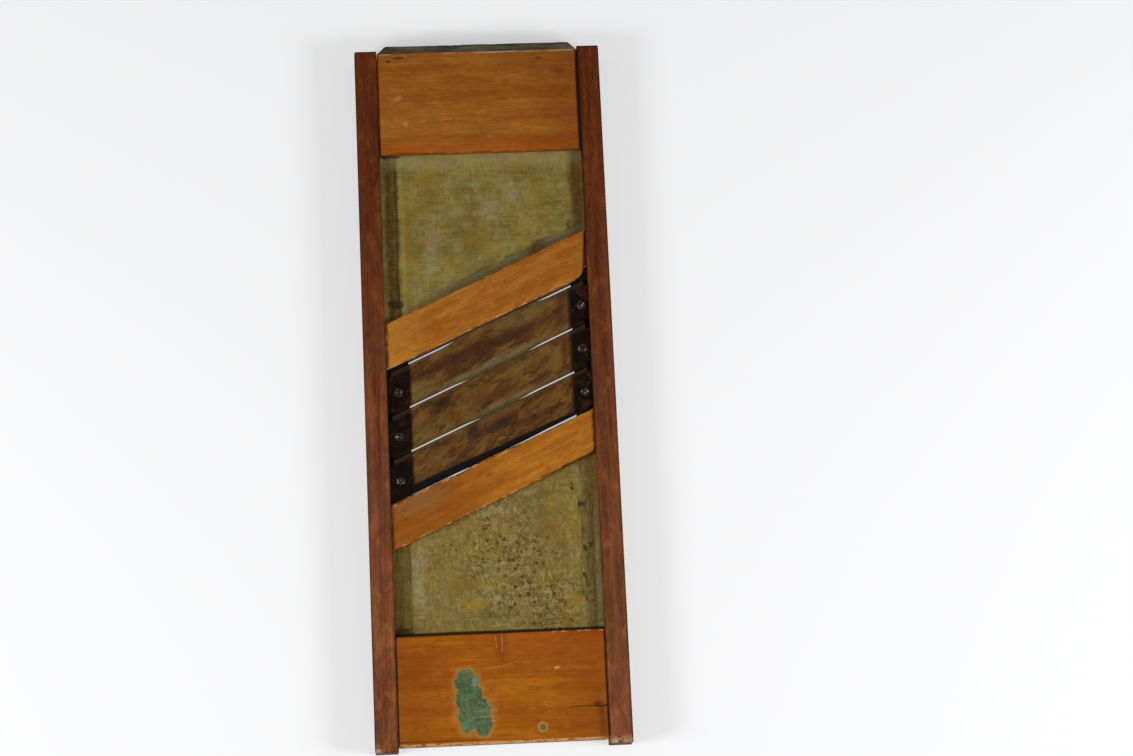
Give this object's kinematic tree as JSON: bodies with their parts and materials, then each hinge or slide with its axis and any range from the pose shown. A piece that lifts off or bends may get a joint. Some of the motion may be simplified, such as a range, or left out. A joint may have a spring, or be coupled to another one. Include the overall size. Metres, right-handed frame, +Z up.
{
  "type": "cabbage cutter",
  "caption": "Long wooden cabbage cutter with sheet-metal bed plates recessed between rails and slanted, inclined knives clamped at both ends, for shredding cabbage",
  "frame": {"origin": "middle of the footprint, on the surface that the rails' undersides lie on", "axes": "X across the cutter, Y along it towards the head board, Z up out of the knife face"},
  "size_m": [0.232, 0.6658, 0.03],
  "materials": {
    "rail_wood": "dark red-brown stain, worn at the edges",
    "board_wood": "aged golden-brown varnish",
    "bar_wood": "aged golden varnish, worn smooth",
    "sheet_metal": "tarnished tinned sheet with rust stains",
    "knife_steel": "brown tarnish, brighter along the ground edge",
    "black_iron": "black, slightly rusted",
    "screw_steel": "dark steel with worn heads",
    "nail_steel": "dull, rusted"
  },
  "bodies": {
    "frame": {"left_rail": "rail_wood", "right_rail": "rail_wood", "head_board": "board_wood", "foot_board": "board_wood", "upper_bar": "bar_wood", "lower_bar": "bar_wood", "upper_bed_plate": "sheet_metal", "lower_bed_plate": "sheet_metal", "left_knife_bracket": "black_iron", "right_knife_bracket": "black_iron", "upper_left_clip": "black_iron", "middle_left_clip": "black_iron", "lower_left_clip": "black_iron", "upper_right_clip": "black_iron", "middle_right_clip": "black_iron", "lower_right_clip": "black_iron", "left_knife_screws": "screw_steel", "right_knife_screws": "screw_steel", "left_bracket_screws": "screw_steel", "right_bracket_screws": "screw_steel", "head_board_nails": "nail_steel", "foot_board_nails": "nail_steel", "upper_bar_nails": "nail_steel", "lower_bar_nails": "nail_steel"},
    "upper_blade": {"upper_knife": "knife_steel"},
    "middle_blade": {"middle_knife": "knife_steel"},
    "lower_blade": {"lower_knife": "knife_steel"}
  },
  "joints": [
    {"name": "upper_knife_setting", "type": "slide", "parent": "frame", "child": "upper_blade", "axis": [-0.4069, 0.9053, 0.1219], "range_m": [-0.002, 0.0015]},
    {"name": "middle_knife_setting", "type": "slide", "parent": "frame", "child": "middle_blade", "axis": [-0.4069, 0.9053, 0.1219], "range_m": [-0.002, 0.0015]},
    {"name": "lower_knife_setting", "type": "slide", "parent": "frame", "child": "lower_blade", "axis": [-0.4069, 0.9053, 0.1219], "range_m": [-0.002, 0.0015]}
  ]
}
